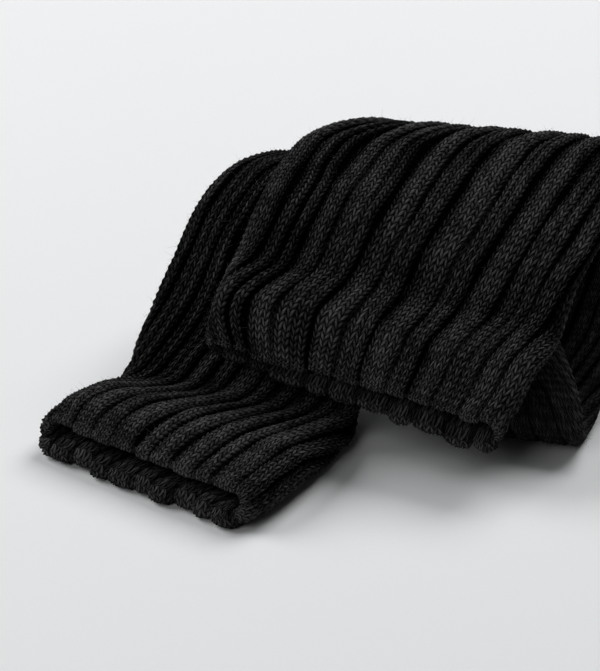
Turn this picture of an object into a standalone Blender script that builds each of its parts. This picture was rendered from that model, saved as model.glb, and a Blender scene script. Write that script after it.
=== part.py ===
"""Pair of footless ribbed calf socks: two open knitted tubes, flattened, one resting over the other.

Metres, +Z up. The floor is z = 0. X runs along the pair's front, +Y away from it. Each sock is one
closed wall: ribs raised on the outer side, a plain inner side, and both ends open.
"""

import math
from typing import NamedTuple

import bmesh
import bpy
from mathutils import Vector

MM = 0.001

RIB_COUNT = 22
RIB_HEIGHT = 3.0 * MM
RIB_UNEVENNESS = 0.22
RIB_SHOULDERS = ((0.0, 0.0), (0.2, 0.8), (0.5, 1.0), (0.8, 0.8))
FLOOR = 0.0
RINGS_PER_SPAN = 2
ORIGIN_SHIFT = Vector((-32.5, -48.6, 0.0)) * MM


class Section(NamedTuple):
    """One cut across a flattened tube, in millimetres: where its two fold edges lie, how thick it
    is over both layers, its wall under the ribs, how far its lower layer runs ahead, and how far
    the ribs slide round it at the left edge, on the upper layer's middle and at the right edge."""

    left_x: float
    left_y: float
    left_z: float
    right_x: float
    right_y: float
    right_z: float
    thick: float
    wall: float
    lean: float
    slide_left: float = 0.0
    slide_mid: float = 0.0
    slide_right: float = 0.0


LOWER_SOCK = (
    Section(-131, -44, 11, -25, -123, 11, 24, 5, 4, -27, -27, -27),
    Section(-122, -31, 14, -11, -111, 13, 28, 4, 1, -31, -31, -31),
    Section(-106, -13, 13, 5, -87, 12, 26, 3, 0, -30, -30, -30),
    Section(-93, 2, 11, 27, -46, 9, 20, 3, 0, -17, -17, -17),
    Section(-85, 12, 25, 33, -30, 20, 18, 3, 0, -9, -9, -9),
    Section(-76, 27, 42, 39, -13, 35, 18, 3, 0, -2, -2, -2),
    Section(-66, 44, 60, 45, 8, 49, 18, 3, 0),
    Section(-54, 66, 78, 53, 32, 64, 18, 3, 0),
    Section(-37, 93, 84, 62, 58, 74, 18, 3, 0),
    Section(-12, 122, 74, 80, 88, 68, 18, 3, 0),
    Section(6, 148, 46, 103, 114, 44, 18, 3, 0),
    Section(20, 168, 20, 122, 136, 19, 18, 3, 0),
    Section(34, 190, 9, 140, 158, 9, 19, 3, 0),
    Section(52, 220, 9, 160, 188, 9, 20, 3, 0),
)

UPPER_SOCK = (
    Section(-46, -12, 39.5, 97, -90, 30, 20, 3, 3, -5, -2, -14),
    Section(-47, -7, 50, 107, -75, 40, 19, 3, 1, -12, -4, -14),
    Section(-43, 4, 62, 117, -57, 51, 18, 3, 0, -16, -5, -13),
    Section(-34, 22, 71, 129, -33, 57, 18, 3, 0, -3, 0, -2),
    Section(-28, 32, 86, 137, -18, 74, 18, 3, 0),
    Section(-20, 45, 98, 150, 5, 87, 18, 3, 0),
    Section(-3, 74, 108, 178, 62, 99, 18, 3, 0),
    Section(24, 92, 107, 190, 80, 99, 17, 3, 0),
    Section(47, 103, 99, 196, 92, 91, 15, 3, 0),
    Section(70, 103, 87, 197, 93, 77, 15, 3, 0),
    Section(90, 92, 76, 194, 83, 67, 17, 3, 0),
    Section(95, 62, 56, 183, 56, 50, 18, 3, 0),
    Section(84, 22, 32, 165, 12, 27, 18, 3, 0),
    Section(74, -8, 9, 150, -23, 8, 18, 3, 0, 10, 10, 10),
    Section(69, -23, 7, 143, -42, 7, 15, 3, 0, 12, 12, 12),
    Section(67, -34, 19, 141, -53, 19, 14, 3, 0, 8, 8, 8),
    Section(66, -23, 30, 139, -40, 30, 14, 3, 0, 1, 1, 1),
    Section(64, -6, 41, 132, -20, 42, 16, 3, 0, -9, -9, -9),
    Section(62, 14, 54, 124, 0, 55, 17, 3, 1, -20, -20, -20),
)


def start_empty():
    """Remove whatever the file opened with."""
    for item in list(bpy.data.objects):
        bpy.data.objects.remove(item, do_unlink=True)


def spline(rows, span, part):
    """A Catmull-Rom value of every column of the rows, part of the way along one span."""
    last = len(rows) - 1
    before = rows[max(span - 1, 0)]
    start = rows[span]
    end = rows[span + 1]
    after = rows[min(span + 2, last)]
    values = []
    for a, b, c, d in zip(before, start, end, after):
        bend = 2 * a - 5 * b + 4 * c - d
        curl = -a + 3 * b - 3 * c + d
        values.append(0.5 * (2 * b + (c - a) * part + bend * part ** 2 + curl * part ** 3))
    return Section(*values)


def sections_along(rows):
    """The table's sections with the smooth ones between them."""
    smooth = []
    for span in range(len(rows) - 1):
        for step in range(RINGS_PER_SPAN):
            smooth.append(spline(rows, span, step / RINGS_PER_SPAN))
    smooth.append(rows[-1])
    return smooth


def middle(section):
    """The point midway between a section's fold edges."""
    left = Vector(section[0:3])
    right = Vector(section[3:6])
    return (left + right) * 0.5 * MM


def rib_starts():
    """Where each rib starts, as a share of the way round, with uneven widths."""
    widths = [1 + RIB_UNEVENNESS * math.sin(2.4 * rib) for rib in range(RIB_COUNT)]
    total = sum(widths)
    starts = [0.0]
    for width in widths:
        starts.append(starts[-1] + width / total)
    return starts


def rib_outline():
    """(share of the way round, height as a share of the rib's) for every point of the outer ring."""
    starts = rib_starts()
    outline = []
    for rib in range(RIB_COUNT):
        width = starts[rib + 1] - starts[rib]
        for along, height in RIB_SHOULDERS:
            outline.append((starts[rib] + along * width, height))
    return outline


def on_stadium(share, half_width, half_thick):
    """A point and its outward direction on a flattened tube's outline, as (across, up) pairs.

    The share runs from the left edge's middle over the upper layer to the right and back below.
    """
    straight = 2 * (half_width - half_thick)
    arc = math.pi * half_thick
    distance = (share % 1.0) * 2 * (straight + arc)
    if distance < arc / 2:
        angle = math.pi - distance / half_thick
        centre = -straight / 2
    elif distance < arc / 2 + straight:
        return (distance - arc / 2 - straight / 2, half_thick), (0.0, 1.0)
    elif distance < arc * 1.5 + straight:
        angle = math.pi / 2 - (distance - arc / 2 - straight) / half_thick
        centre = straight / 2
    elif distance < arc * 1.5 + 2 * straight:
        return (straight / 2 - (distance - arc * 1.5 - straight), -half_thick), (0.0, -1.0)
    else:
        angle = -math.pi / 2 - (distance - arc * 1.5 - 2 * straight) / half_thick
        centre = -straight / 2
    direction = (math.cos(angle), math.sin(angle))
    return (centre + half_thick * direction[0], half_thick * direction[1]), direction


def slid(share, section, perimeter):
    """The share moved round the tube as far as the ribs slide there."""
    below = (section.slide_left + section.slide_right) / 2
    slides = (section.slide_left, section.slide_mid, section.slide_right, below, section.slide_left)
    quarter = share * 4
    first = min(int(quarter), 3)
    slide = slides[first] + (slides[first + 1] - slides[first]) * (quarter - first)
    return share + slide * MM / perimeter


def ring(sections, index, shares, inner):
    """The points of one outer or inner ring, across the tube at that section, kept above the floor."""
    section = sections[index]
    inset = section.wall * MM if inner else 0.0
    ahead = middle(sections[min(index + 1, len(sections) - 1)])
    behind = middle(sections[max(index - 1, 0)])
    along = (ahead - behind).normalized()
    across = (Vector(section[3:6]) - Vector(section[0:3])) * MM
    half_width = across.length / 2 - RIB_HEIGHT
    half_thick = section.thick * MM / 2 - RIB_HEIGHT
    across.normalize()
    up = across.cross(along).normalized()
    perimeter = 4 * (half_width - half_thick) + 2 * math.pi * half_thick
    points = []
    for share, height in shares:
        place, outward = on_stadium(slid(share, section, perimeter), half_width, half_thick)
        rise = height * RIB_HEIGHT - inset
        point = middle(section)
        point += across * (place[0] + outward[0] * rise)
        point += up * (place[1] + outward[1] * rise)
        point += along * (place[1] / half_thick) * section.lean * MM
        point.z = max(point.z, FLOOR + inset)
        points.append(point + ORIGIN_SHIFT)
    return points


def bridge(mesh, first, second):
    """Quads between two rings of equal count."""
    count = len(first)
    for i in range(count):
        j = (i + 1) % count
        mesh.faces.new((first[i], first[j], second[j], second[i]))


def rim(mesh, outer, inner):
    """The end of the wall: two outer points to each inner one."""
    count = len(inner)
    for i in range(count):
        j = (i + 1) % count
        near = outer[2 * i]
        crest = outer[2 * i + 1]
        far = outer[(2 * i + 2) % len(outer)]
        mesh.faces.new((near, crest, inner[i]))
        mesh.faces.new((crest, inner[j], inner[i]))
        mesh.faces.new((crest, far, inner[j]))


def tube_mesh(name, rows):
    """The closed wall of one sock: outer rings, inner rings and the two rims."""
    outline = rib_outline()
    plain = [(share, 0.0) for share, _ in outline[::2]]
    sections = sections_along(rows)
    mesh = bmesh.new()
    outer = []
    inner = []
    for index in range(len(sections)):
        outer.append([mesh.verts.new(p) for p in ring(sections, index, outline, False)])
        inner.append([mesh.verts.new(p) for p in ring(sections, index, plain, True)])
    for index in range(len(sections) - 1):
        bridge(mesh, outer[index], outer[index + 1])
        bridge(mesh, inner[index + 1], inner[index])
    rim(mesh, outer[0], inner[0])
    rim(mesh, outer[-1], inner[-1])
    bmesh.ops.recalc_face_normals(mesh, faces=mesh.faces)
    data = bpy.data.meshes.new(name)
    mesh.to_mesh(data)
    mesh.free()
    data.shade_smooth()
    return data


def knit_material(name, colour):
    """Matt black yarn."""
    material = bpy.data.materials.new(name)
    material.use_nodes = True
    shader = material.node_tree.nodes["Principled BSDF"]
    shader.inputs["Base Color"].default_value = (*colour, 1.0)
    shader.inputs["Roughness"].default_value = 0.95
    shader.inputs["Metallic"].default_value = 0.0
    return material


def add_sock(collection, name, rows, colour):
    """One sock as a named object with its own material."""
    sock = bpy.data.objects.new(name, tube_mesh(name, rows))
    sock.data.materials.append(knit_material(name + "_knit", colour))
    collection.objects.link(sock)
    return sock


def main():
    start_empty()
    collection = bpy.data.collections.new("ribbed_calf_socks")
    bpy.context.scene.collection.children.link(collection)
    add_sock(collection, "sock_lower", LOWER_SOCK, (0.012, 0.012, 0.013))
    add_sock(collection, "sock_upper", UPPER_SOCK, (0.013, 0.013, 0.014))


main()
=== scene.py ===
"""Looks of a pair of footless ribbed calf socks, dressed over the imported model.

Two tubes of chunky black rib knit: one lies flat at its near end and arches up behind, the other is
folded over it. Metres, +Z up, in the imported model's frame. Every stitch column is a row of slanted
yarn legs in the mesh; finer fibre is in the material and in a thin fuzz of loose hairs.
"""

import logging
import math
from dataclasses import dataclass
from enum import Enum
from typing import NamedTuple

import bpy
import numpy as np
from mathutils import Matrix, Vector


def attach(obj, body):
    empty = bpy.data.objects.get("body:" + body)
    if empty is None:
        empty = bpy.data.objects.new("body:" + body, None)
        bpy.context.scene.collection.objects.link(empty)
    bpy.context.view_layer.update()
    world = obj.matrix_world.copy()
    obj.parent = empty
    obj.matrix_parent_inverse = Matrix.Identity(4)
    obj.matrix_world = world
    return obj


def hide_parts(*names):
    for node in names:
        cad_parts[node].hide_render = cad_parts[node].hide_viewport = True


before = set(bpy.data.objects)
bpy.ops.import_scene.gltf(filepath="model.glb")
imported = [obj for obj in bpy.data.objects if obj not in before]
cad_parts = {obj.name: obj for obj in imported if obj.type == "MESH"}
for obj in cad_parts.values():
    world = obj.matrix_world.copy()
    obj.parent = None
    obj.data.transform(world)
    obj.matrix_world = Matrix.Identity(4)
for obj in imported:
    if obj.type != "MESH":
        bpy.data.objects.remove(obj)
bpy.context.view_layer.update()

MM = 0.001
LOG = logging.getLogger("calf_socks")

Array = np.ndarray
Colour = tuple[float, float, float, float]


class Section(NamedTuple):
    """One cut across a flattened tube, in millimetres, as in the part's own table.

    Attributes:
        left_x: Where one fold edge lies.
        left_y: Its second coordinate.
        left_z: Its height.
        right_x: Where the other fold edge lies.
        right_y: Its second coordinate.
        right_z: Its height.
        thick: The tube over both layers and their ribs.
        wall: The knit under the ribs.
        lean: How far the lower layer runs towards the near end, and the upper one from it.
        slide_left: How far the ribs slide round the tube at the left edge.
        slide_mid: The same on the upper layer's middle.
        slide_right: The same at the right edge.
    """

    left_x: float
    left_y: float
    left_z: float
    right_x: float
    right_y: float
    right_z: float
    thick: float
    wall: float
    lean: float
    slide_left: float = 0.0
    slide_mid: float = 0.0
    slide_right: float = 0.0


LOWER_SOCK = (
    Section(-131, -44, 11, -25, -123, 11, 24, 5, 5, -27, -27, -27),
    Section(-122, -31, 14, -11, -111, 13, 28, 4, 1, -31, -31, -31),
    Section(-106, -13, 13, 5, -87, 12, 26, 3, 0, -30, -30, -30),
    Section(-93, 2, 11, 27, -46, 9, 20, 3, 0, -17, -17, -17),
    Section(-85, 12, 25, 33, -30, 20, 18, 3, 0, -9, -9, -9),
    Section(-76, 27, 42, 39, -13, 35, 18, 3, 0, -2, -2, -2),
    Section(-66, 44, 60, 45, 8, 49, 18, 3, 0),
    Section(-54, 66, 78, 53, 32, 64, 18, 3, 0),
    Section(-37, 93, 84, 62, 58, 74, 18, 3, 0),
    Section(-12, 122, 74, 80, 88, 68, 18, 3, 0),
    Section(6, 148, 46, 103, 114, 44, 18, 3, 0),
    Section(20, 168, 20, 122, 136, 19, 18, 3, 0),
    Section(34, 190, 9, 140, 158, 9, 19, 3, 0),
    Section(52, 220, 9, 160, 188, 9, 20, 3, 0),
)

UPPER_SOCK = (
    Section(-46, -12, 39, 97, -90, 29.5, 21, 3, 4, -5, -2, -14),
    Section(-47, -7, 50, 107, -75, 40, 19, 3, 1, -12, -4, -14),
    Section(-43, 4, 62, 117, -57, 51, 18, 3, 0, -16, -5, -13),
    Section(-34, 22, 71, 129, -33, 57, 18, 3, 0, -4, -2, -8),
    Section(-28, 32, 86, 137, -18, 74, 18, 3, 0, 0, -1, -4),
    Section(-20, 45, 98, 150, 5, 87, 18, 3, 0, 0, 0, -1),
    Section(-3, 74, 108, 178, 62, 99, 18, 3, 0),
    Section(24, 92, 107, 190, 80, 99, 17, 3, 0),
    Section(47, 103, 99, 196, 92, 91, 15, 3, 0),
    Section(70, 103, 87, 197, 93, 77, 15, 3, 0),
    Section(90, 92, 76, 194, 83, 67, 17, 3, 0),
    Section(95, 62, 56, 183, 56, 50, 18, 3, 0),
    Section(84, 22, 32, 165, 12, 27, 18, 3, 0),
    Section(74, -8, 9, 150, -23, 8, 18, 3, 0, 10, 10, 10),
    Section(69, -23, 7, 143, -42, 7, 15, 3, 0, 12, 12, 12),
    Section(67, -34, 19, 141, -53, 19, 14, 3, 0, 8, 8, 8),
    Section(66, -23, 30, 139, -40, 30, 14, 3, 0, 1, 1, 1),
    Section(64, -6, 41, 132, -20, 42, 16, 3, 0, -9, -9, -9),
    Section(62, 14, 54, 124, 0, 55, 17, 3, 1, -20, -20, -20),
)

# How deep the trough after each rib is, from 0 to 1, the upper layer's ribs first.
LOWER_TROUGHS = (0.8, 0.9, 0.9, 0.8, 0.9, 0.7, 0.9, 0.8, 0.9, 0.8, 0.7,
                 0.7, 0.8, 0.8, 0.9, 0.9, 0.8, 0.9, 0.8, 0.9, 0.9, 0.8)
UPPER_TROUGHS = (0.7, 1.0, 0.25, 0.95, 0.3, 0.85, 0.2, 1.0, 0.5, 0.35, 0.5,
                 0.7, 0.8, 0.9, 0.8, 0.9, 0.7, 0.8, 0.9, 0.8, 0.9, 0.7)

# Extra creases: the rib, the place across it, and the depth as a share of the rib's height.
LOWER_GROOVES = ((0, 0.5, 0.6), (1, 0.5, 0.55), (2, 0.45, 0.6), (3, 0.5, 0.5), (5, 0.5, 0.35))
UPPER_GROOVES = ((1, 0.55, 1.1), (3, 0.6, 0.4), (5, 0.5, 0.35), (7, 0.45, 0.3), (9, 0.55, 0.45))

# How much of the ribs' relief is left at these shares of the tube's length.
LOWER_CALM = ((0.0, 0.6), (0.05, 0.85), (0.12, 1.0), (0.4, 1.25), (0.6, 1.25), (1.0, 1.0))
UPPER_CALM = ((0.0, 0.7), (0.05, 0.9), (0.2, 1.0), (0.27, 1.25), (0.33, 1.5), (0.42, 1.5),
              (0.55, 1.1), (0.8, 1.0), (0.88, 0.3), (1.0, 0.3))

ORIGIN_SHIFT = np.array((-32.5, -48.6, 0.0)) * MM
STATIONS_PER_SPAN = 2
MIDDLE_LINE_POINTS = 2000
RIB_WIDTH_TURN = 2.4

# The random waves along the tube: each one's least length and its share of the whole size.
WAVES = ((110 * MM, 0.6), (47 * MM, 0.4), (23 * MM, 0.2))
LONGEST_WAVE = 1.6
QUARTERS = 4
LAST_QUARTER = 3.9999
LINING_UV_STEP = (0.37, 0.5)


class Skin(NamedTuple):
    """The plain tube at some points.

    Attributes:
        points: Their places.
        outward: The directions away from the tube.
        along: The directions along it.
        perimeter: The way round it.
        wall: Its wall's thickness.
        facing: 1 on the upper layer, -1 on the lower one, 0 at the fold edges.
        room: Half the space between the two layers' walls.
    """

    points: Array
    outward: Array
    along: Array
    perimeter: Array
    wall: Array
    facing: Array
    room: Array


class Column(Enum):
    """Where a line of mesh points runs along the knit."""

    VALLEY = "between two stitch columns"
    LEG = "along the crest of the yarn legs"
    HEART = "where the two legs of a stitch meet"
    TROUGH = "at the bottom between two ribs"


# The mesh columns of a stitch column: where each runs, and its share of the legs' slant.
WALE_COLUMNS = ((Column.VALLEY, 1.0), (Column.LEG, 0.5), (Column.HEART, 0.0), (Column.LEG, 0.5))


@dataclass(frozen=True)
class Knit:
    """The gauge and the relief of the rib knit.

    Attributes:
        rib_count: Ribs round the tube, as in the solid.
        rib_height: From the plain tube to a rib's crest.
        rib_unevenness: How much the ribs' widths differ.
        wales_per_rib: Stitch columns on a middling rib.
        trough_share: Of the way round that the troughs take.
        trough_depths: Where the shallowest and the deepest trough lie, as shares of rib_height.
        edge_heights: A rib's edge beside the shallowest and the deepest trough, likewise.
        left_fall: How late a rib falls off to its left; higher is later and steeper.
        right_fall: The same to its right.
        stitch_height: From one stitch to the next along the tube, in two mesh rows.
        slant: How far a yarn leg leads at its outer end, in stitches.
        leg_dip: Between two legs of a column.
        heart_dip: Where a stitch's two legs meet.
        wale_dip: Between two stitch columns.
        wale_lift: How much of that dip is left half a stitch further on.
        wale_middle: The middling share of that dip, which wanders along each column.
        wale_wander: How far it wanders.
        wale_range: Its least and its greatest.
        swell: The slow rise and fall of each rib.
        unevenness: The random lift of single mesh points.
        thinnest: What is left of the wall in the deepest trough.
        sway: How far a rib wanders to its sides.
        trough_wander: How much a trough's depth wanders.
        groove_width: Of an extra crease, as a share of its rib's.
        full_width: Of a rib that has its whole relief. Ribs on a narrower tube are flatter.
        least_scale: The least share of the stitches' relief on a narrow tube.
        flattening: How much lower the ribs get with that share.
        straight_rows: Mesh rows from an end over which the legs take on their slant.
        end_play: How far a rib's end may be from the tube's.
        end_reach: How far from the end that fades.
        rim_rows: Mesh rows round a rolled end.
        rim_relief: How much the ribs show there and inside.
        rim_painted_light: Painted light: how much paler the outermost yarn there is coloured.
        inner_rows: Mesh rows of the ribs inside an end.
        inner_row_height: Between two of those.
        inner_shares: The ribs' height on the inside of an end, as shares of the room there: at
            the fold edges, more on the lower layer, and less on the upper one.
        inner_painted_light: Painted light: how much paler the yarn inside an end is coloured.
        inner_shade_fade: Painted shade: how much darker it is coloured further in.
        lining_rows: Mesh rows of the plain lining.
        lining_shade_level: How raised the lining counts as, which colours it in painted shade.
        lining_floor: The lining's least height over the floor.
    """

    rib_count: int = 22
    rib_height: float = 3.0 * MM
    rib_unevenness: float = 0.22
    wales_per_rib: float = 3.0
    trough_share: float = 0.15
    trough_depths: tuple[float, float] = (0.55, -0.45)
    edge_heights: tuple[float, float] = (0.86, 0.3)
    left_fall: float = 1.5
    right_fall: float = 2.4
    stitch_height: float = 3.9 * MM
    slant: float = 0.9
    leg_dip: float = 0.95 * MM
    heart_dip: float = 0.7 * MM
    wale_dip: float = 1.2 * MM
    wale_lift: float = 0.8
    wale_middle: float = 0.95
    wale_range: tuple[float, float] = (0.3, 2.2)
    wale_wander: float = 0.8
    swell: float = 0.8 * MM
    unevenness: float = 0.1 * MM
    thinnest: float = 0.5 * MM
    sway: float = 1.3 * MM
    trough_wander: float = 0.42
    groove_width: float = 0.11
    full_width: float = 13.0 * MM
    least_scale: float = 0.5
    flattening: float = 0.4
    straight_rows: int = 4
    end_play: float = 1.8 * MM
    end_reach: float = 14.0 * MM
    rim_rows: int = 8
    rim_relief: float = 0.45
    rim_painted_light: float = 0.25
    inner_rows: int = 5
    inner_row_height: float = 3.0 * MM
    inner_shares: tuple[float, float, float] = (0.55, 0.7, 0.15)
    inner_painted_light: float = 0.1
    inner_shade_fade: float = 0.7
    lining_rows: int = 14
    lining_shade_level: float = 0.2
    lining_floor: float = 2.4 * MM


@dataclass
class KnitTube:
    """One sock's outer skin, rolled rims and lining as one closed mesh.

    Attributes:
        name: The piece's name.
        node: The solid it stands for.
        rows: The table of sections along the tube.
        depths: How deep the trough after each rib is, from 0 to 1.
        grooves: Extra creases, as (rib, place across it, depth as a share of its height).
        calm: How much of the ribs' relief is left at these shares of the tube's length.
        seed: Of the unevenness in its ribs, and of its loose hairs.
        rests_on: What the sock lies on; not used.
        knit: Its gauge and relief.
        wider_ribs: Ribs with more stitch columns, once for each.
        lean_slope: How much more the lean is at the right edge, and less at the left one.
        start_inset: From the tube's ends to the first and last ring outside.
    """

    name: str
    node: str
    rows: tuple[Section, ...]
    depths: tuple[float, ...]
    grooves: tuple[tuple[int, float, float], ...]
    calm: tuple[tuple[float, float], ...]
    seed: int
    rests_on: tuple[str, ...]
    knit: Knit = Knit()
    wider_ribs: tuple[int, ...] = ()
    lean_slope: float = 0.0
    start_inset: float = 4.0 * MM

    def __post_init__(self) -> None:
        """Work out the tube's frames and its columns of mesh points."""
        self.random = np.random.default_rng(self.seed)
        self._make_stations()
        self._make_columns()

    # The tube's own shape

    def _make_stations(self) -> None:
        """Frames across the tube at the part's own stations, and lengths along its middle."""
        table = np.array(self.rows, float)
        parts = np.arange(0, (len(table) - 1) * STATIONS_PER_SPAN + 1) / STATIONS_PER_SPAN
        table = smooth_along(table, parts)
        left = table[:, 0:3] * MM
        right = table[:, 3:6] * MM
        middle = (left + right) / 2
        ahead = np.vstack((middle[1:], middle[-1:]))
        behind = np.vstack((middle[:1], middle[:-1]))
        along = unit(ahead - behind)
        across = right - left
        self.width = np.linalg.norm(across, axis=1)
        across = across / self.width[:, None]
        up = unit(np.cross(across, along))
        self.stations = np.hstack((middle + ORIGIN_SHIFT, across, up, along, table[:, 6:9] * MM,
                                   self.width[:, None]))
        self.slides = table[:, 9:12] * MM
        self.places = np.linspace(0, len(middle) - 1, MIDDLE_LINE_POINTS)
        path = smooth_along(middle, self.places)
        steps = np.linalg.norm(np.diff(path, axis=0), axis=1)
        self.lengths = np.concatenate(([0.0], np.cumsum(steps)))
        self.length = float(self.lengths[-1])

    def surface(self, distance: Array, share: Array) -> Skin:
        """The plain tube under the ribs.

        Args:
            distance: How far along the middle line each point is, in metres.
            share: How far round the tube each point is, from 0 to 1.

        Returns:
            The tube's skin there.
        """
        place = np.interp(distance, self.lengths, self.places)
        state = smooth_along(self.stations, place)
        middle, across, up, along = (state[..., i:i + 3] for i in (0, 3, 6, 9))
        across, up, along = unit(across), unit(up), unit(along)
        thick, wall, lean, width = (state[..., i] for i in (12, 13, 14, 15))
        half_width = width / 2 - self.knit.rib_height
        half_thick = thick / 2 - self.knit.rib_height
        x, y, out_x, out_y = on_stadium(share, half_width, half_thick)
        points = middle + across * x[..., None] + up * y[..., None]
        lean = lean * (1 + self.lean_slope * x / half_width)
        points = points + along * (y / half_thick * lean)[..., None]
        outward = across * out_x[..., None] + up * out_y[..., None]
        perimeter = 4 * (half_width - half_thick) + 2 * math.pi * half_thick
        return Skin(points, outward, along, perimeter, wall, out_y, half_thick - wall)

    # The knit's columns

    def _make_columns(self) -> None:
        """Lay out the mesh columns: each rib's stitch columns and the trough after it."""
        knit = self.knit
        turns = (RIB_WIDTH_TURN * rib for rib in range(knit.rib_count))
        widths = [1 + knit.rib_unevenness * math.sin(turn) for turn in turns]
        total = sum(widths)
        trough = knit.trough_share / knit.rib_count
        each = len(WALE_COLUMNS)
        columns = []
        start = 0.0
        wale = 0
        for rib, width in enumerate(widths):
            body = width / total - trough
            wales = max(2, round(width * knit.wales_per_rib)) + self.wider_ribs.count(rib)
            steps = each * wales
            for step in range(steps + 1):
                part = step / steps
                kind, slant = WALE_COLUMNS[step % each]
                columns.append((start + trough / 2 + part * body, part, kind, slant,
                                wale + step / each, rib))
            wale += wales + 1
            start += width / total
            columns.append((start, 1.0, Column.TROUGH, 1.0, wale - 0.5, rib))
        share, part, kind, slant, wales, rib_of = zip(*columns)
        self.share = np.array(share)
        self.part = np.array(part)
        self.kind = kind
        self.slant = np.array(slant)
        self.wale = np.array((*wales, wale))
        self.rib_of = np.array(rib_of)
        self.wale_of = np.round(self.wale[:-1]).astype(int)
        self.rib_sway = self._wavy(knit.rib_count, knit.sway)
        self.rib_swell = self._wavy(knit.rib_count, 1.0)
        self.trough_dip = self._wavy(knit.rib_count, knit.trough_wander)
        self.valley_dip = self._wavy(wale + 2, knit.wale_wander)
        self.rib_end = self.random.uniform(-knit.end_play, knit.end_play, knit.rib_count)

    def _wavy(self, count: int, size: float) -> list[tuple[Array, Array, Array]]:
        """Random waves along some lines of the knit.

        Args:
            count: How many lines.
            size: How far all of a line's waves together may reach, about.

        Returns:
            For each of WAVES, the lines' sizes, lengths and phases.
        """
        waves = []
        for shortest, share in WAVES:
            sizes = size * share * self.random.uniform(0.5, 1.0, count)
            lengths = shortest * self.random.uniform(1.0, LONGEST_WAVE, count)
            waves.append((sizes, lengths, self.random.uniform(0, 2 * math.pi, count)))
        return waves

    def _sum_waves(self, waves: list[tuple[Array, ...]], distance: Array,
                   lines: Array) -> Array:
        """The sum of the waves.

        Args:
            waves: From _wavy.
            distance: How far along the tube each point is.
            lines: Which line each mesh column follows.

        Returns:
            The sum at each point.
        """
        total = np.zeros_like(distance)
        for sizes, lengths, phases in waves:
            total += sizes[lines] * np.sin(2 * math.pi * distance / lengths[lines] + phases[lines])
        return total

    def _rib_heights(self, distance: Array) -> Array:
        """The ribs' smooth shape, from the troughs' varying depths.

        Args:
            distance: How far along the tube each point is.

        Returns:
            Each point's height on its rib, as a share of rib_height.
        """
        knit = self.knit
        depths = np.array(self.depths)
        rib_before = (self.rib_of - 1) % knit.rib_count
        after = depths[self.rib_of] + self._sum_waves(self.trough_dip, distance, self.rib_of)
        before = depths[rib_before] + self._sum_waves(self.trough_dip, distance, rib_before)
        after, before = np.clip(after, 0.0, 1.0), np.clip(before, 0.0, 1.0)
        shallow, deep = knit.edge_heights
        slope = abs(2 * self.part - 1)
        left = 1 - (1 - shallow - (deep - shallow) * before) * slope ** knit.left_fall
        right = 1 - (1 - shallow - (deep - shallow) * after) * slope ** knit.right_fall
        height = np.where(self.part < 0.5, left, right)
        for rib, place, depth in self.grooves:
            near = np.exp(-((self.part - place) / knit.groove_width) ** 2) * (self.rib_of == rib)
            height = height - depth * near
        shallow, deep = knit.trough_depths
        is_trough = np.array([kind is Column.TROUGH for kind in self.kind])
        height = np.where(is_trough, shallow + (deep - shallow) * after, height)
        left_over = np.interp(distance / self.length, *zip(*self.calm))
        return 1 - (1 - height) * left_over

    def _relief(self, row: Array, distance: Array) -> Array:
        """The stitches' relief, and the slow swell of the ribs.

        Args:
            row: Each mesh row's number.
            distance: How far along the tube each of its points is.

        Returns:
            How far each point lies below its rib's smooth shape, in metres.
        """
        knit = self.knit
        dips = {
            Column.VALLEY: (knit.wale_dip, knit.wale_lift * knit.wale_dip),
            Column.LEG: (knit.leg_dip, 0.0),
            Column.HEART: (knit.wale_dip, knit.heart_dip),
            Column.TROUGH: (knit.leg_dip, 0.0),
        }
        relief = np.array([dips[kind] for kind in self.kind]).T[row % 2]
        is_valley = np.array([kind is Column.VALLEY for kind in self.kind])
        wander = knit.wale_middle + self._sum_waves(self.valley_dip, distance, self.wale_of)
        vary = np.where(is_valley, np.clip(wander, *knit.wale_range), 1.0)
        swell = (1 + self._sum_waves(self.rib_swell, distance, self.rib_of)) / 2
        return relief * vary + swell * knit.swell

    def _slide(self, distance: Array, share: Array) -> Array:
        """The ribs' slides, from the tube's table.

        Args:
            distance: How far along the tube each point is.
            share: How far round it, from 0 to 1.

        Returns:
            How far the ribs slide round the tube there, in metres.
        """
        place = np.interp(distance, self.lengths, self.places)
        left, middle, right = np.moveaxis(smooth_along(self.slides, place), -1, 0)
        anchors = np.stack((left, middle, right, (left + right) / 2, left), axis=-1)
        quarter = np.clip(share * QUARTERS, 0.0, LAST_QUARTER)
        first = np.floor(quarter).astype(int)
        start = np.take_along_axis(anchors, first[..., None], axis=-1)[..., 0]
        end = np.take_along_axis(anchors, first[..., None] + 1, axis=-1)[..., 0]
        return start + (end - start) * (quarter - first)

    def _shares(self, distance: Array) -> Array:
        """Where the mesh columns run, with the ribs' own sway and their slides.

        Args:
            distance: How far along the tube each point is.

        Returns:
            How far round the tube each point is, from 0 to 1 or a little past either.
        """
        share = np.broadcast_to(self.share, distance.shape)
        perimeter = self.surface(distance, share).perimeter
        sway = self._sum_waves(self.rib_sway, distance, self.rib_of)
        return share + (sway + self._slide(distance, share)) / perimeter

    # The mesh

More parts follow.
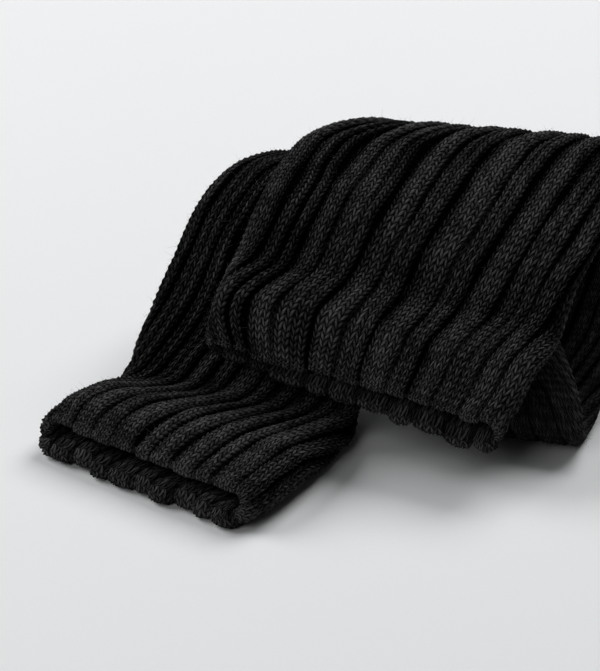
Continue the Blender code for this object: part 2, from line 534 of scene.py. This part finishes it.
    def rows_of_points(self) -> tuple[Array, Array, Array]:
        """Every ring of the skin, from inside the near end over the outside to inside the far end.

        Returns:
            The rings' points, their stitch counts along the tube, and each point's painted shade
            level.
        """
        knit = self.knit
        span = self.length - 2 * self.start_inset
        stitches = round(span / knit.stitch_height)
        pitch = span / stitches
        row = np.arange(2 * stitches + 1)
        from_end = np.minimum(row, row[-1] - row)
        slant = np.minimum(1.0, from_end / knit.straight_rows) * knit.slant
        lead = slant[:, None] * self.slant[None, :]
        stitch = row[:, None] / 2 + lead
        distance = self.start_inset + np.minimum(stitch * pitch, span)
        at_end = np.exp(-(from_end * pitch / 2 / knit.end_reach) ** 2)
        distance = distance + at_end[:, None] * self.rib_end[self.rib_of]
        share = self._shares(distance)
        skin = self.surface(distance, share)
        scale = np.clip(skin.perimeter / (knit.rib_count * knit.full_width), knit.least_scale, 1.0)
        height = self._rib_heights(distance) * (1 - knit.flattening * (1 - scale))
        relief = self._relief(row, distance) + self.random.normal(0, knit.unevenness, height.shape)
        raised = height * knit.rib_height - np.maximum(relief, 0.0) * scale
        raised = np.maximum(raised, knit.thinnest - skin.wall)
        outer = skin.points + skin.outward * raised[..., None]
        near, near_level = self._rim(distance[0], share[0], height[0], -1)
        far, far_level = self._rim(distance[-1], share[-1], height[-1], 1)
        rings = np.concatenate((near[::-1], outer, far))
        extra = np.arange(1, len(near) + 1)[:, None] / 2
        counts = np.concatenate((stitch[0] - extra[::-1], stitch, stitch[-1] + extra))
        # Each point's level for the painted shade in the yarn's colour: how raised it is, and the
        # rims' own levels.
        level = np.concatenate((near_level[::-1], raised / knit.rib_height, far_level))
        self.skin, self.skin_out = outer, skin.outward
        return rings, counts, level

    def _rim(self, distance: Array, share: Array, height: Array,
             way: int) -> tuple[Array, Array]:
        """The rings that roll from the outside over the tube's end and a little way inside.

        Args:
            distance: Of the last outer ring's points.
            share: Of the same points.
            height: Their height on their ribs, as a share.
            way: 1 at the far end, -1 at the near end.

        Returns:
            The rings in order from the outside to the inside, and each point's painted shade level.
        """
        knit = self.knit
        skin = self.surface(distance, share)
        crest = 1 - knit.rim_relief * (1 - np.clip(height, 0.0, 1.0))
        outer = height * knit.rib_height
        inner = -skin.wall - crest * self._inner_rib(skin)
        middle, radius = (outer + inner) / 2, (outer - inner) / 2
        rings, levels = [], []
        for step in range(1, knit.rim_rows + 1):
            turn = math.pi * step / knit.rim_rows
            dip = self._relief(np.array([way * step]), distance[None])[0]
            rise = middle + (radius - dip) * math.cos(turn)
            reach = (radius - dip) * math.sin(turn) * way
            rings.append(skin.points + skin.outward * rise[:, None] + skin.along * reach[:, None])
            # Painted light: the outermost yarn of the roll is coloured paler.
            levels.append(crest + knit.rim_painted_light * math.sin(turn) - dip / knit.rib_height)
        for step in range(1, knit.inner_rows + 1):
            inside = distance - way * step * knit.inner_row_height
            skin = self.surface(inside, self._shares(inside))
            fade = 1 - (step / (knit.inner_rows + 1)) ** 2
            dip = self._relief(np.array([step]), inside[None])[0]
            rise = -skin.wall - (crest * self._inner_rib(skin) - dip) * fade
            rings.append(skin.points + skin.outward * rise[:, None])
            # Painted shade: the ribs inside an end are coloured darker further in, with a little
            # painted light.
            inner_painted_level = crest * (1 - knit.inner_shade_fade * (1 - fade))
            levels.append(inner_painted_level + knit.inner_painted_light - dip / knit.rib_height)
        return np.array(rings), np.array(levels)

    def _inner_rib(self, skin: Skin) -> Array:
        """The ribs on the inside of an end, which are highest on the lower layer.

        Args:
            skin: The tube there.

        Returns:
            Their height at each point, in metres.
        """
        below = np.maximum(-skin.facing, 0.0)
        above = np.maximum(skin.facing, 0.0)
        share, more_below, less_above = self.knit.inner_shares
        return skin.room * (share + more_below * below ** 2 - less_above * above)

    def lining(self) -> Array:
        """The plain inside.

        Returns:
            Its rings' points, between the ribs inside the two ends.
        """
        knit = self.knit
        inset = self.start_inset + (knit.inner_rows + 1) * knit.inner_row_height
        distance = np.linspace(inset, self.length - inset, knit.lining_rows)
        distance = np.repeat(distance[:, None], len(self.share), axis=1)
        skin = self.surface(distance, self._shares(distance))
        return skin.points - skin.outward * skin.wall[..., None]

    def build(self) -> bpy.types.Object:
        """Make the mesh, with its stitch coordinates and each point's level for the yarn's painted
        shade.

        Returns:
            The piece's object.
        """
        knit = self.knit
        rings, counts, level = self.rows_of_points()
        inside = self.lining()[:, ::2]
        columns = rings.shape[1]
        rings[..., 2] = np.maximum(rings[..., 2], 0.0)
        inside[..., 2] = np.maximum(inside[..., 2], knit.lining_floor)
        points = np.concatenate((rings.reshape(-1, 3), inside.reshape(-1, 3)))
        skin_faces, skin_uv = self._skin_faces(rings.shape[0], columns, counts)
        lining_faces, lining_uv = self._lining_faces(rings.shape[0], columns, inside.shape[0])
        mesh = bpy.data.meshes.new(self.name)
        mesh.from_pydata(points, [], skin_faces.tolist() + lining_faces)
        uv = mesh.uv_layers.new(name="Stitches")
        uv.data.foreach_set("uv", np.concatenate((skin_uv, lining_uv)).ravel())
        attribute = mesh.attributes.new("raised", "FLOAT", "POINT")
        # Painted shade: the lining is coloured by a fixed low level.
        lining_shade_level = np.full(inside.shape[0] * inside.shape[1], knit.lining_shade_level)
        values = np.concatenate((level.ravel(), lining_shade_level))
        attribute.data.foreach_set("value", values.astype(np.float32))
        mesh.shade_smooth()
        return bpy.data.objects.new(self.name, mesh)

    def _skin_faces(self, rows: int, columns: int,
                    counts: Array) -> tuple[Array, Array]:
        """Quads between the rings.

        Args:
            rows: How many rings.
            columns: Points in a ring.
            counts: Each point's stitch count along the tube.

        Returns:
            The faces, and their corners' (stitch column, stitch) coordinates.
        """
        row, column = np.meshgrid(np.arange(rows - 1), np.arange(columns), indexing="ij")
        beside = (column + 1) % columns
        corners = ((row, column), (row, beside), (row + 1, beside), (row + 1, column))
        faces = np.stack([r * columns + c for r, c in corners], axis=-1).reshape(-1, 4)
        here, there = self.wale[column], self.wale[column + 1]
        across = (here, there, there, here)
        uv = np.stack([
            np.stack((x, counts[r, c]), axis=-1) for x, (r, c) in zip(across, corners)
        ], axis=2)
        return faces[:, ::-1], uv.reshape(-1, 4, 2)[:, ::-1].reshape(-1, 2)

    def _lining_faces(self, rows: int, columns: int,
                      inside_rows: int) -> tuple[list[tuple[int, ...]], Array]:
        """Faces of the lining, which joins the rims' last rings at every second point.

        Args:
            rows: How many rings the skin has.
            columns: Points in one of them.
            inside_rows: How many rings the lining has.

        Returns:
            The faces, and their corners' coordinates, which shade them as loose stitches.
        """
        half = columns // 2 + columns % 2
        first = rows * columns
        faces = []
        for end, ring, flip in ((0, 0, True), ((rows - 1) * columns, inside_rows - 1, False)):
            own = first + ring * half
            for i in range(half):
                j = (i + 1) % half
                rim = range(end + 2 * i, end + min(2 * i + 2, columns))
                face = (*rim, end + 2 * j, own + j, own + i)
                faces.append(face if flip else face[::-1])
        for ring in range(inside_rows - 1):
            own = first + ring * half
            ahead = own + half
            for i in range(half):
                j = (i + 1) % half
                faces.append((own + i, own + j, ahead + j, ahead + i))
        corners = np.concatenate([np.arange(len(face)) for face in faces])
        return faces, corners[:, None] * np.array(LINING_UV_STEP)


def unit(vectors: Array) -> Array:
    """The vectors at length one."""
    return vectors / np.linalg.norm(vectors, axis=-1, keepdims=True)


def smooth_along(values: Array, place: Array) -> Array:
    """Catmull-Rom values of a table's rows at fractional row numbers.

    Args:
        values: The table, one row for each station.
        place: The row numbers wanted, of any shape.

    Returns:
        The rows there, with the shape of place before their own.
    """
    last = len(values) - 1
    span = np.clip(np.floor(place).astype(int), 0, last - 1)
    part = (place - span)[..., None]
    before = values[np.maximum(span - 1, 0)]
    start = values[span]
    end = values[span + 1]
    after = values[np.minimum(span + 2, last)]
    bend = 2 * before - 5 * start + 4 * end - after
    curl = -before + 3 * start - 3 * end + after
    return 0.5 * (2 * start + (end - before) * part + bend * part ** 2 + curl * part ** 3)


def on_stadium(share: Array, half_width: Array,
               half_thick: Array) -> tuple[Array, ...]:
    """Points round a flattened tube's outline.

    Args:
        share: Of the way round, from the left edge over the upper layer to the right and back.
        half_width: Half the outline's width.
        half_thick: Half its thickness.

    Returns:
        The points' places across and up, and their outward directions across and up.
    """
    straight = 2 * (half_width - half_thick)
    arc = math.pi * half_thick
    run = (share % 1.0) * 2 * (straight + arc)
    right = arc / 2 + straight
    back = arc * 1.5 + straight
    left = arc * 1.5 + 2 * straight
    angle = np.where(run < arc / 2, math.pi - run / half_thick, math.pi / 2)
    angle = np.where(run >= right, math.pi / 2 - (run - right) / half_thick, angle)
    angle = np.where(run >= back, -math.pi / 2, angle)
    angle = np.where(run >= left, -math.pi / 2 - (run - left) / half_thick, angle)
    centre = np.where(run < arc / 2, -straight / 2, run - arc / 2 - straight / 2)
    centre = np.where(run >= right, straight / 2, centre)
    centre = np.where(run >= back, straight / 2 - (run - back), centre)
    centre = np.where(run >= left, -straight / 2, centre)
    out_x, out_y = np.cos(angle), np.sin(angle)
    return centre + half_thick * out_x, half_thick * out_y, out_x, out_y


class Value:
    """A number socket in a material, with Python's operators for Math nodes."""

    def __init__(self, nodes: "Nodes", socket: bpy.types.NodeSocket) -> None:
        """Wrap a socket of that node tree."""
        self.nodes = nodes
        self.socket = socket

    def _math(self, operation: str, *values: "Value | float") -> "Value":
        """One Math node on these values."""
        return self.nodes.add("ShaderNodeMath", {"operation": operation}, dict(enumerate(values)))

    def __add__(self, other: "Value | float") -> "Value":
        """self + other."""
        return self._math("ADD", self, other)

    __radd__ = __add__

    def __sub__(self, other: "Value | float") -> "Value":
        """self - other."""
        return self._math("SUBTRACT", self, other)

    def __rsub__(self, other: float) -> "Value":
        """other - self."""
        return self._math("SUBTRACT", other, self)

    def __mul__(self, other: "Value | float") -> "Value":
        """self * other."""
        return self._math("MULTIPLY", self, other)

    __rmul__ = __mul__

    def __pow__(self, other: float) -> "Value":
        """self ** other."""
        return self._math("POWER", self, other)

    def __abs__(self) -> "Value":
        """abs(self)."""
        return self._math("ABSOLUTE", self)

    def part(self) -> "Value":
        """What is left of self past its whole number."""
        return self._math("FRACT", self)

    def whole(self) -> "Value":
        """self rounded down."""
        return self._math("FLOOR", self)

    def scaled(self, by: tuple[float, float]) -> "Value":
        """self times the first number, plus the second."""
        return self * by[0] + by[1]

    def held(self) -> "Value":
        """self kept between 0 and 1."""
        return self._math("MINIMUM", self._math("MAXIMUM", self, 0.0), 1.0)


class Nodes:
    """Builds a material's nodes."""

    def __init__(self, material: bpy.types.Material) -> None:
        """Start from the material's own shader.

        Args:
            material: The material to fill.
        """
        material.use_nodes = True
        self.tree = material.node_tree
        self.shader = self.tree.nodes["Principled BSDF"]

    def add(self, kind: str, settings: dict, inputs: dict, output: int | str = 0) -> Value:
        """One node.

        Args:
            kind: The node's type name.
            settings: Its own settings, set before its sockets.
            inputs: Values or links, by socket name or number.
            output: Which of its outputs is wanted.

        Returns:
            The wrapped output.
        """
        node = self.tree.nodes.new(kind)
        for name, value in settings.items():
            setattr(node, name, value)
        for name, value in inputs.items():
            self.feed(node.inputs[name], value)
        return Value(self, node.outputs[output])

    def feed(self, socket: bpy.types.NodeSocket, value: object) -> None:
        """Link or set one socket.

        Args:
            socket: The node's input.
            value: A Value to link, or what the socket itself is to hold.
        """
        if isinstance(value, Value):
            self.tree.links.new(value.socket, socket)
        else:
            socket.default_value = value

    def set(self, **values: object) -> None:
        """Set or link the shader's sockets.

        Args:
            **values: By the sockets' names, with underscores for spaces.
        """
        for name, value in values.items():
            self.feed(self.shader.inputs[name.replace("_", " ")], value)

    def noise(self, vector: Value, scale: float, detail: float) -> Value:
        """A noise of that scale, from 0 to 1."""
        inputs = {"Vector": vector, "Scale": scale, "Detail": detail}
        return self.add("ShaderNodeTexNoise", {}, inputs)

    def mix(self, factor: Value, first: tuple, second: tuple) -> Value:
        """A colour between two, by a number."""
        return self.add("ShaderNodeMix", {"data_type": "RGBA"}, {0: factor, 6: first, 7: second}, 2)


@dataclass(frozen=True)
class BlackYarn:
    """Matt black chunky yarn: slanted legs, loose fibre, and painted shade in the troughs and
    between the legs.

    The colour goes from deep to crest by a product of shares: the raised and leg shares are painted
    shade, the others random tone. A pair is a factor and an offset.

    Attributes:
        name: The material's name.
        slant: How far a yarn leg leads at its outer end, in stitches.
        deep: The darkest colour, the painted shade at the bottom of troughs and gaps.
        crest: The palest one, where the painted shade is least.
        roughness: Of the yarn.
        sheen: Of its loose fibre at a grazing angle.
        sheen_roughness: Of that sheen.
        sheen_tint: Its colour.
        fray: How far the legs' outlines wander, in stitches.
        fray_scale: Of the noise that they wander by.
        fullness: Of a leg's cross-section; higher is fuller.
        aside: How a leg falls off to its sides.
        raised: Painted shade from how raised the mesh counts as; troughs are darkest.
        trough_shade_power: The steepness of that painted shade.
        leg: Painted shade in the gaps between yarn legs, from how near a leg's middle a point is.
        gap_shade_power: The steepness of that painted shade.
        chance: The share from each leg's own random number.
        fibre: The share from the fine fibre's noise.
        fibre_scale: Of that noise.
        cloud: The share from the slow noise over many stitches.
        cloud_scale: Of that noise.
        bump_leg: What the legs add to the bump.
        bump_fibre: What the fibre adds to it.
        bump_strength: Of the bump.
        bump_height: Of the bump, in metres.
    """

    name: str
    slant: float
    deep: Colour = (0.0003, 0.0003, 0.0003, 1.0)
    crest: Colour = (0.078, 0.077, 0.078, 1.0)
    roughness: float = 0.95
    sheen: float = 0.004
    sheen_roughness: float = 0.5
    sheen_tint: Colour = (0.8, 0.81, 0.84, 1.0)
    fray: float = 0.9
    fray_scale: float = 210.0
    fullness: float = 2.4
    aside: tuple[float, float] = (0.75, 0.25)
    raised: tuple[float, float] = (0.9, 0.17)
    trough_shade_power: float = 1.7
    leg: tuple[float, float] = (0.95, 0.05)
    gap_shade_power: float = 1.4
    chance: tuple[float, float] = (0.9, 0.5)
    fibre: tuple[float, float] = (3.2, -0.5)
    fibre_scale: float = 1700.0
    cloud: tuple[float, float] = (0.8, 0.6)
    cloud_scale: float = 55.0
    bump_leg: float = 0.8
    bump_fibre: float = 0.45
    bump_strength: float = 0.9
    bump_height: float = 0.8 * MM

    def build(self) -> bpy.types.Material:
        """Make the finish.

        Returns:
            The material.
        """
        material = bpy.data.materials.new(self.name)
        nodes = Nodes(material)
        place = nodes.add("ShaderNodeTexCoord", {}, {}, "Object")
        fibre = nodes.noise(place, self.fibre_scale, 3.0)
        cloud = nodes.noise(place, self.cloud_scale, 3.0)
        leg, chance = self._legs(nodes, place)
        raised = nodes.add("ShaderNodeAttribute", {"attribute_name": "raised"}, {}, "Fac")
        # Painted shade: the less raised a point counts as, the darker its colour, so troughs and
        # hollows are dark.
        tone_and_painted_shade = raised.scaled(self.raised).held() ** self.trough_shade_power
        # Painted shade in the gaps between the yarn legs.
        tone_and_painted_shade = tone_and_painted_shade * (leg ** self.gap_shade_power).scaled(self.leg)
        tone_and_painted_shade = tone_and_painted_shade * chance.scaled(self.chance) * fibre.scaled(self.fibre)
        tone_and_painted_shade = tone_and_painted_shade * cloud.scaled(self.cloud)
        height = leg * self.bump_leg + fibre * self.bump_fibre
        bump = nodes.add("ShaderNodeBump", {}, {
            "Strength": self.bump_strength, "Distance": self.bump_height, "Height": height})
        # The base colour runs from the painted shade in deep to the crest colour.
        nodes.set(Base_Color=nodes.mix(tone_and_painted_shade.held(), self.deep, self.crest), Normal=bump,
                  Roughness=self.roughness, Specular_IOR_Level=0.0, Sheen_Weight=self.sheen,
                  Sheen_Roughness=self.sheen_roughness, Sheen_Tint=self.sheen_tint)
        return material

    def _legs(self, nodes: Nodes, place: Value) -> tuple[Value, Value]:
        """The yarn legs, two to a stitch, from the mesh's (stitch column, stitch) coordinates.

        Args:
            nodes: The material's nodes.
            place: Each point's place.

        Returns:
            How near each point is to the middle of its leg, and its leg's random number.
        """
        stitches = nodes.add("ShaderNodeUVMap", {"uv_map": "Stitches"}, {})
        wale = nodes.add("ShaderNodeSeparateXYZ", {}, {0: stitches}, 0)
        along = nodes.add("ShaderNodeSeparateXYZ", {}, {0: stitches}, 1)
        along = along + (nodes.noise(place, self.fray_scale, 2.0) - 0.5) * self.fray
        aside = abs(wale.part() - 0.5) * 2.0
        stitch = along - aside * self.slant
        lengthwise = 1.0 - abs(stitch.part() * 2.0 - 1.0) ** self.fullness
        crosswise = 1.0 - abs(aside * 2.0 - 1.0) ** self.fullness
        leg = (lengthwise * crosswise.scaled(self.aside)).held()
        cell = nodes.add("ShaderNodeCombineXYZ", {}, {0: (wale * 2.0).whole(), 1: stitch.whole()})
        chance = nodes.add("ShaderNodeTexWhiteNoise", {"noise_dimensions": "2D"}, {"Vector": cell})
        return leg, chance


@dataclass
class Fuzz:
    """Loose hairs that stand off the yarn, as thin closed threads.

    Attributes:
        seed: Of where they stand.
        count: How many.
        length: The longest, in metres.
        shortest: The shortest, as a share of the longest.
        radius: Of a hair at its root.
        taper: How much thinner its tip is.
        depth: How far under the skin its root is.
        joints: Its parts, between which it bends.
        corners: Its sides.
        uprightness: How much of its heading is straight off the skin.
        scatter: How much of its heading is random.
        curl: How far its tip bends aside, as a share of its length.
    """

    seed: int
    count: int = 8000
    length: float = 4.2 * MM
    shortest: float = 0.25
    radius: float = 0.045 * MM
    taper: float = 0.5
    depth: float = 0.2 * MM
    joints: int = 2
    corners: int = 3
    uprightness: float = 0.8
    scatter: float = 0.5
    curl: float = 0.5

    def build(self, name: str, points: Array, outward: Array) -> bpy.types.Object:
        """Hairs on a skin.

        Args:
            name: The piece's name.
            points: The skin's points, ring by ring.
            outward: The directions away from the skin there.

        Returns:
            The mesh object.
        """
        random = np.random.default_rng(self.seed)
        row = random.integers(1, points.shape[0] - 1, self.count)
        column = random.integers(0, points.shape[1], self.count)
        root = points[row, column] - outward[row, column] * self.depth
        along = unit(points[row + 1, column] - points[row - 1, column])
        lean = random.normal(0, 1.0, (self.count, 3))
        upright = outward[row, column] * self.uprightness
        heading = unit(upright + along * lean[:, :1] + lean * self.scatter)
        curl = unit(random.normal(0, 1.0, (self.count, 3)))
        size = self.length * random.uniform(self.shortest, 1.0, self.count)[:, None]
        side = unit(np.cross(heading, curl))
        other = unit(np.cross(heading, side))
        rings = []
        for joint in range(self.joints + 1):
            part = joint / self.joints
            centre = root + (heading * part + curl * part ** 2 * self.curl) * size
            for corner in range(self.corners):
                angle = 2 * math.pi * corner / self.corners
                offset = side * math.cos(angle) + other * math.sin(angle)
                rings.append(centre + offset * self.radius * (1.0 - self.taper * part))
        vertices = np.stack(rings, axis=1)
        vertices[..., 2] = np.maximum(vertices[..., 2], 0.0)
        mesh = bpy.data.meshes.new(name)
        mesh.from_pydata(vertices.reshape(-1, 3), [], self._faces(vertices.shape[1]))
        return bpy.data.objects.new(name, mesh)

    def _faces(self, points_each: int) -> list[list[int]]:
        """The hairs' sides and both their ends, which close them.

        Args:
            points_each: How many points a hair has.

        Returns:
            The faces.
        """
        sides = []
        for joint in range(self.joints):
            ring = joint * self.corners
            for corner in range(self.corners):
                first = ring + corner
                beside = ring + (corner + 1) % self.corners
                sides.append((first, beside, beside + self.corners, first + self.corners))
        root = tuple(range(self.corners))[::-1]
        tip = tuple(self.joints * self.corners + corner for corner in range(self.corners))
        start = np.arange(self.count)[:, None, None] * points_each
        faces = (np.array(sides)[None] + start).reshape(-1, 4).tolist()
        return faces + (np.array((root, tip))[None] + start).reshape(-1, self.corners).tolist()


@dataclass
class Pair:
    """The two socks, with their fuzz.

    Attributes:
        lower: The sock that lies on the floor.
        upper: The sock that is folded over it.
        slot: The surface finish of every piece; not used.
        edges: What the two fold edges add to a sheet's width; not used.
        hair_colour: The loose hairs' plain dark grey.
    """

    lower: KnitTube
    upper: KnitTube
    slot: str = "rib_knit"
    edges: float = 10.0 * MM
    hair_colour: Colour = (0.09, 0.09, 0.093, 1.0)

    def build(self) -> None:
        """Make, dress and place every piece."""
        for tube in (self.lower, self.upper):
            skin = tube.build()
            self._place(skin, BlackYarn(tube.name + "_yarn", tube.knit.slant).build())
            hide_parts(tube.node)
            fuzz = Fuzz(seed=tube.seed).build(tube.node + "_fuzz", tube.skin, tube.skin_out)
            self._place(fuzz, self._hair())

    def _hair(self) -> bpy.types.Material:
        """Make the loose hairs' own finish.

        Returns:
            The material.
        """
        material = bpy.data.materials.new("loose_hair")
        Nodes(material).set(Base_Color=self.hair_colour, Roughness=0.9, Specular_IOR_Level=0.05)
        return material

    def _place(self, piece: bpy.types.Object, material: bpy.types.Material) -> None:
        """Put one piece in the scene, on the model's one body.

        Args:
            piece: Its object.
            material: Its finish.
        """
        piece.data.materials.append(material)
        bpy.context.scene.collection.objects.link(piece)
        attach(piece, "root")


class SquareLight(NamedTuple):
    """One soft light.

    Attributes:
        name: Its name.
        offset: From the aim to it, in metres.
        side: Its size, in metres.
        watts: Its power.
    """

    name: str
    offset: tuple[float, float, float]
    side: float
    watts: float


@dataclass
class Studio:
    """Pale floor, soft lights and the camera.

    Attributes:
        aim: What the camera and the lights point at.
        elevation: The camera's angle over the floor, in degrees.
        distance: From the camera to the aim, in metres.
        seen_width: How much the picture shows across, at that distance.
        image_size: The photograph's width and height in pixels.
        sensor: The camera's, in millimetres.
        clip: The nearest and the furthest that it sees.
        floor_size: The floor's width.
        floor_drop: How far it lies below zero, clear of the knit's lowest faces.
        backdrop: How far back it starts to bend up.
        bend: The radius of that bend.
        bend_steps: The bend's parts.
        wall_height: The top of the backdrop.
        paper: The floor's darkest and its palest colour.
        grain_scale: Of the noise between them.
        lights: Two above and behind, and a weak one in front.
        sky_colour: Of the faint even light from all round.
        sky_strength: Of the same.
    """

    aim: tuple[float, float, float] = (-0.0325, -0.0486, 0.040)
    elevation: float = 30.0
    distance: float = 2.5
    seen_width: float = 0.300
    image_size: tuple[int, int] = (600, 671)
    sensor: float = 36.0
    clip: tuple[float, float] = (0.01, 50.0)
    floor_size: float = 9.0
    floor_drop: float = 0.1 * MM
    backdrop: float = 3.4
    bend: float = 0.8
    bend_steps: int = 12
    wall_height: float = 5.0
    paper: tuple[Colour, Colour] = ((0.80, 0.81, 0.82, 1.0), (0.84, 0.85, 0.86, 1.0))
    grain_scale: float = 900.0
    lights: tuple[SquareLight, ...] = (
        SquareLight("right_behind", (1.15, 1.45, 2.15), 1.7, 57.0),
        SquareLight("left_behind", (-1.95, 0.7, 1.6), 1.7, 42.0),
        SquareLight("front_fill", (-1.2, -1.95, 1.95), 1.5, 14.0),
    )
    sky_colour: Colour = (0.97, 0.985, 1.0, 1.0)
    sky_strength: float = 0.035

    def build(self) -> None:
        """Make everything that isn't the object."""
        self._floor()
        for light in self.lights:
            self._light(light)
        self._sky()
        self._camera()

    def _floor(self) -> None:
        """A pale floor that bends up into a far backdrop."""
        half = self.floor_size / 2
        profile = [(-half, 0.0), (self.backdrop, 0.0)]
        for step in range(1, self.bend_steps + 1):
            turn = math.pi / 2 * step / self.bend_steps
            rise = self.bend * (1 - math.cos(turn))
            profile.append((self.backdrop + self.bend * math.sin(turn), rise))
        profile.append((self.backdrop + self.bend, self.wall_height))
        vertices = [(x, y, z - self.floor_drop) for y, z in profile for x in (-half, half)]
        faces = [(2 * i, 2 * i + 1, 2 * i + 3, 2 * i + 2) for i in range(len(profile) - 1)]
        mesh = bpy.data.meshes.new("floor")
        mesh.from_pydata(vertices, [], faces)
        mesh.shade_smooth()
        floor = bpy.data.objects.new("floor", mesh)
        material = bpy.data.materials.new("pale_paper")
        nodes = Nodes(material)
        place = nodes.add("ShaderNodeTexCoord", {}, {}, "Object")
        grain = nodes.noise(place, self.grain_scale, 2.0)
        nodes.set(Base_Color=nodes.mix(grain, *self.paper), Roughness=0.7, Specular_IOR_Level=0.2)
        mesh.materials.append(material)
        bpy.context.scene.collection.objects.link(floor)

    def _light(self, light: SquareLight) -> None:
        """Place one square light, facing the aim.

        Args:
            light: What it is like.
        """
        target = Vector(self.aim)
        place = target + Vector(light.offset)
        data = bpy.data.lights.new(light.name, "AREA")
        data.size = light.side
        data.energy = light.watts
        lamp = bpy.data.objects.new(light.name, data)
        lamp.location = place
        lamp.rotation_euler = (target - place).to_track_quat("-Z", "Y").to_euler()
        bpy.context.scene.collection.objects.link(lamp)

    def _sky(self) -> None:
        """The faint even light from all round."""
        world = bpy.data.worlds.new("studio")
        bpy.context.scene.world = world
        world.use_nodes = True
        background = world.node_tree.nodes["Background"]
        background.inputs["Color"].default_value = self.sky_colour
        background.inputs["Strength"].default_value = self.sky_strength

    def _camera(self) -> None:
        """The photograph's view."""
        width, height = self.image_size
        rise = math.radians(self.elevation)
        back = Vector((0.0, -math.cos(rise), math.sin(rise)))
        data = bpy.data.cameras.new("camera")
        data.sensor_width = self.sensor
        data.lens = self.sensor * self.distance / (self.seen_width * height / width)
        data.clip_start, data.clip_end = self.clip
        camera = bpy.data.objects.new("camera", data)
        camera.location = Vector(self.aim) + back * self.distance
        camera.rotation_euler = (-back).to_track_quat("-Z", "Y").to_euler()
        bpy.context.scene.collection.objects.link(camera)
        bpy.context.scene.camera = camera


def main() -> None:
    """Build the studio and the pair."""
    logging.basicConfig(level=logging.INFO, format="%(name)s: %(message)s")
    bpy.context.scene.view_settings.view_transform = "Standard"
    Studio().build()
    lower = KnitTube(
        name="sock_lower_knit", node="sock_lower", rows=LOWER_SOCK, depths=LOWER_TROUGHS,
        grooves=LOWER_GROOVES, calm=LOWER_CALM, seed=3, rests_on=("floor",),
        knit=Knit(wales_per_rib=3.0, stitch_height=3.7 * MM))
    upper = KnitTube(
        name="sock_upper_knit", node="sock_upper", rows=UPPER_SOCK, depths=UPPER_TROUGHS,
        grooves=UPPER_GROOVES, calm=UPPER_CALM, seed=8, rests_on=("sock_lower_knit", "floor"),
        knit=Knit(wales_per_rib=3.6), wider_ribs=(0, 11, 12, 12), lean_slope=0.7)
    Pair(lower, upper).build()


if __name__ == "__main__":
    main()
